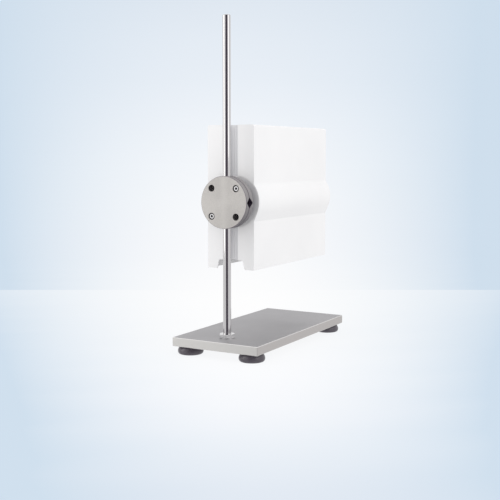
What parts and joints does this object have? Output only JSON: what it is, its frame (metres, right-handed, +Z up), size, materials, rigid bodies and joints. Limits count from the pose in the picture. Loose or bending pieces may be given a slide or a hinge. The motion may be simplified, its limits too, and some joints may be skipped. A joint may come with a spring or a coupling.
{
  "type": "laboratory stand with clamped instrument housing",
  "caption": "Flat steel base on rubber feet with an upright rod; a round two-disc clamp holds a tall white open-bottomed instrument housing that slides, swings and locks on the rod.",
  "frame": {"origin": "on the table, under the middle of the whole stand's bounding box", "axes": "+Z up along the rod; +Y from the rod towards the far end of the base plate; +X to the right when seen from the rod's end"},
  "size_m": [0.146, 0.3186, 0.5025],
  "materials": {
    "base_steel": "satin, fine grain",
    "rod_steel": "polished",
    "fastener_steel": "bright",
    "clamp_metal": "bead-blasted, matt warm grey",
    "core_metal": "satin",
    "cap_plastic": "matt pale grey",
    "housing_plastic": "fine satin white",
    "foot_rubber": "satin black"
  },
  "bodies": {
    "base": {"base_plate": "base_steel", "rod_lock_nut": "fastener_steel", "foot_near_left": "foot_rubber", "foot_near_right": "foot_rubber", "foot_far_left": "foot_rubber", "foot_far_right": "foot_rubber", "foot_screws": "fastener_steel", "foot_washers": "fastener_steel"},
    "rod": {"support_rod": "rod_steel"},
    "head": {"clamp_rear_disc": "clamp_metal", "mounting_screws": "fastener_steel", "mount_hub": "clamp_metal", "hub_bolt": "fastener_steel", "hub_washer": "fastener_steel", "core_rear_cap": "cap_plastic", "core_tube": "core_metal", "core_front_cap": "cap_plastic", "housing_left_shell": "housing_plastic", "housing_right_shell": "housing_plastic", "shell_screws": "fastener_steel"},
    "clamp_front": {"clamp_front_disc": "clamp_metal"},
    "upper_screw": {"clamp_screw_upper": "fastener_steel"},
    "lower_screw": {"clamp_screw_lower": "fastener_steel"}
  },
  "joints": [
    {"name": "head_swing", "type": "hinge", "parent": "base", "child": "rod", "pos_m": [0, -0.1207, 0.026], "axis": [0, 0, 1], "continuous": true},
    {"name": "head_height", "type": "slide", "parent": "rod", "child": "head", "axis": [0, 0, 1], "range_m": [-0.095, 0.24]},
    {"name": "clamp_open", "type": "slide", "parent": "head", "child": "clamp_front", "axis": [0, -1, 0], "range_m": [0, 0.002]},
    {"name": "upper_screw_turn", "type": "hinge", "parent": "clamp_front", "child": "upper_screw", "pos_m": [0.02086, -0.13051, 0.24986], "axis": [0, -1, 0], "range_deg": [0, 900]},
    {"name": "lower_screw_turn", "type": "hinge", "parent": "clamp_front", "child": "lower_screw", "pos_m": [-0.02086, -0.13051, 0.20814], "axis": [0, -1, 0], "range_deg": [0, 900]}
  ],
  "couplings": [
    {"joint": "upper_screw_turn", "follows": "clamp_open", "rad_per_m": 7854},
    {"joint": "lower_screw_turn", "follows": "clamp_open", "rad_per_m": 7854}
  ]
}
